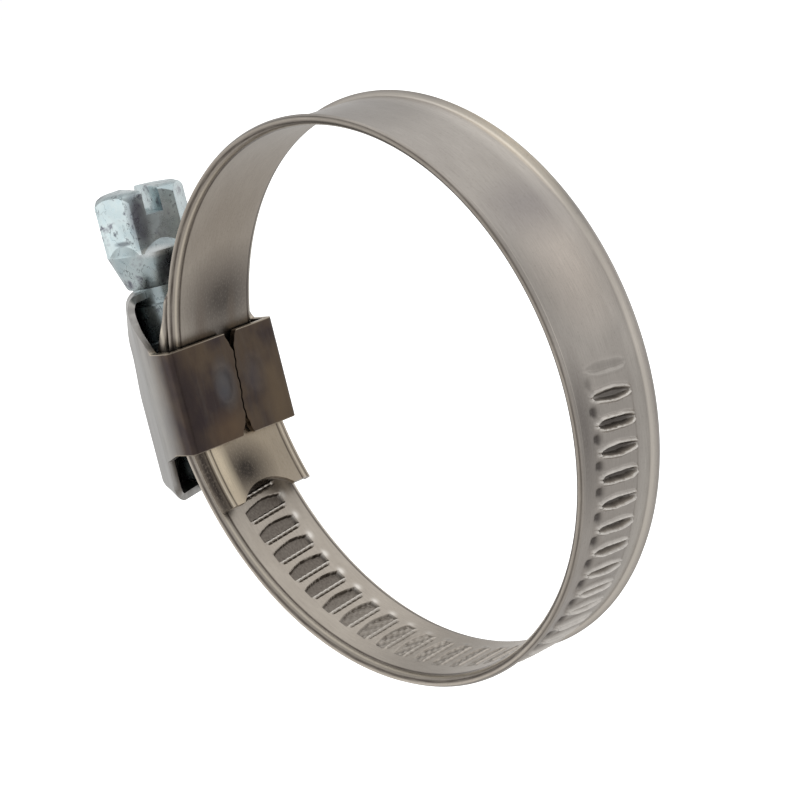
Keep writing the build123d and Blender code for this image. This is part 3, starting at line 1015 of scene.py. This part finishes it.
def screw_head(material):
    """Hex with a turned top, an end slot and a sloping shoulder over the tapered collar."""
    reach = HEX_FLATS / 2 / math.cos(math.pi / HEX_SIDES)
    turns = [math.radians(HEX_TURN + 360.0 / HEX_SIDES * index) for index in range(HEX_SIDES)]
    corners = [(WORM_X + reach * math.cos(turn), reach * math.sin(turn)) for turn in turns]
    head = prism("screw_body", corners, HEX_LOW, HEX_HIGH, material)
    combine(head, lathe("dome", HEAD_PROFILE, material), "INTERSECT")
    combine(head, lathe("body", BODY_PROFILE, material), "UNION")
    along = Vector((math.cos(math.radians(DRIVE_TURN)), math.sin(math.radians(DRIVE_TURN))))
    aside = Vector((-along.y, along.x))
    loop = ((-1, -1), (1, -1), (1, 1), (-1, 1))
    middle = Vector((WORM_X, 0.0))
    corners = [tuple(middle + along * a * DRIVE_REACH + aside * b * DRIVE_SLOT / 2) for a, b in loop]
    slot = prism("cut", corners, HEX_HIGH - DRIVE_DEPTH, HEX_HIGH + DRIVE_CLEAR, material)
    combine(head, slot, "DIFFERENCE")
    bevel_edges(head, SCREW_BEVEL, 3, 24.0)
    return head


def worm_thread(material):
    """The worm's ridge, wound right-handed with run-outs at both ends."""
    count = int((THREAD_HIGH - THREAD_LOW) / PITCH * THREAD_STEPS)
    verts, faces = [], []
    for step in range(count + 1):
        turn = 2.0 * math.pi * step / THREAD_STEPS
        ends = smooth(min(step, count - step) / THREAD_STEPS, 0.0, RUN_OUT)
        for height, level in THREAD_SECTION:
            radius = ROOT_RADIUS + (height * ends if height > 0 else height)
            z = THREAD_LOW + PITCH * step / THREAD_STEPS
            z += level * (RUN_OUT_WIDTH + (1.0 - RUN_OUT_WIDTH) * ends)
            verts.append((WORM_X + radius * math.cos(turn), radius * math.sin(turn), z))
    width = len(THREAD_SECTION)
    for step in range(count):
        for index in range(width):
            a, b = step * width + index, step * width + (index + 1) % width
            faces.append((a, a + width, b + width, b))
    faces.append(tuple(range(width)))
    faces.append(tuple(reversed(range(count * width, (count + 1) * width))))
    return make_object("screw_thread", verts, faces, material, 30.0)


def make_screw(material):
    """The whole screw, riding on its own body."""
    for piece in (screw_head(material), worm_thread(material)):
        place_attribute(piece)
        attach(piece, "clamp_screw")
        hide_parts("screw")


# Stage


def make_camera():
    """A long lens on the +X, -Y side, a little above the clamp."""
    data = bpy.data.cameras.new("camera")
    data.lens = LENS
    data.sensor_width = SENSOR
    data.clip_start = NEAR_CLIP
    camera = bpy.data.objects.new("camera", data)
    bpy.context.scene.collection.objects.link(camera)
    turn = Matrix((CAMERA_RIGHT, CAMERA_UP, CAMERA_BACK)).transposed()
    camera.matrix_world = Matrix.Translation(CAMERA_PLACE) @ turn.to_4x4()
    bpy.context.scene.camera = camera


def make_floor():
    """A plain pale floor some way under the clamp. The steel mirrors the soft sky instead of it."""
    mesh = bpy.data.meshes.new("floor")
    height = cad_box[0].z - FLOOR_GAP
    loop = ((-1, -1), (1, -1), (1, 1), (-1, 1))
    mesh.from_pydata([(a * FLOOR_HALF, b * FLOOR_HALF, height) for a, b in loop], [], [(0, 1, 2, 3)])
    floor = bpy.data.objects.new("floor", mesh)
    bpy.context.scene.collection.objects.link(floor)
    material, tree = new_material("floor")
    place = node(tree, "TexCoord").outputs["Object"]
    tone = remap(tree, stretched_noise(tree, place, (3.0, 3.0, 3.0)), 0.0, 1.0, 0.93, 0.97)
    matt = node(tree, "BsdfDiffuse", {"Color": tone})
    glow = node(tree, "Emission", {"Color": tone, "Strength": FLOOR_GLOW})
    both = node(tree, "AddShader", {0: matt.outputs[0], 1: glow.outputs[0]})
    tree.links.new(both.outputs[0], node(tree, "OutputMaterial").inputs[0])
    mesh.materials.append(material)
    floor.visible_glossy = False


def make_sky():
    """A soft studio sky, brightest in a belt round the horizon, so the steel gets its gradients."""
    world = bpy.data.worlds.new("studio")
    world.use_nodes = True
    tree = world.node_tree
    tree.nodes.clear()
    direction = node(tree, "TexCoord").outputs["Generated"]
    height = maths(tree, "MULTIPLY_ADD", part_of(tree, direction, 2), 0.5, 0.5)
    ramp = node(tree, "ValToRGB", {0: height})
    points = ramp.color_ramp.elements
    points[0].position, points[0].color = 0.0, SKY_LOW
    points[1].position, points[1].color = 1.0, SKY_HIGH
    for place, level in SKY_LEVELS:
        points.new(place).color = (level, level, level, 1.0)
    shader = node(tree, "Background", {"Color": ramp.outputs[0], "Strength": 1.0})
    tree.links.new(shader.outputs[0], node(tree, "OutputWorld").inputs[0])
    bpy.context.scene.world = world


def soft_lamp(name, place, size, power):
    """A large square lamp turned towards the clamp's middle."""
    data = bpy.data.lights.new(name, "AREA")
    data.size, data.energy = size, power
    lamp = bpy.data.objects.new(name, data)
    bpy.context.scene.collection.objects.link(lamp)
    aim = (-Vector(place)).to_track_quat("-Z", "Y")
    lamp.matrix_world = Matrix.Translation(place) @ aim.to_matrix().to_4x4()


bpy.context.scene.view_settings.view_transform = "Standard"
make_band(band_material())
make_housing(housing_material())
make_screw(screw_material())
make_camera()
make_floor()
make_sky()
for lamp in LAMPS:
    soft_lamp(*lamp)
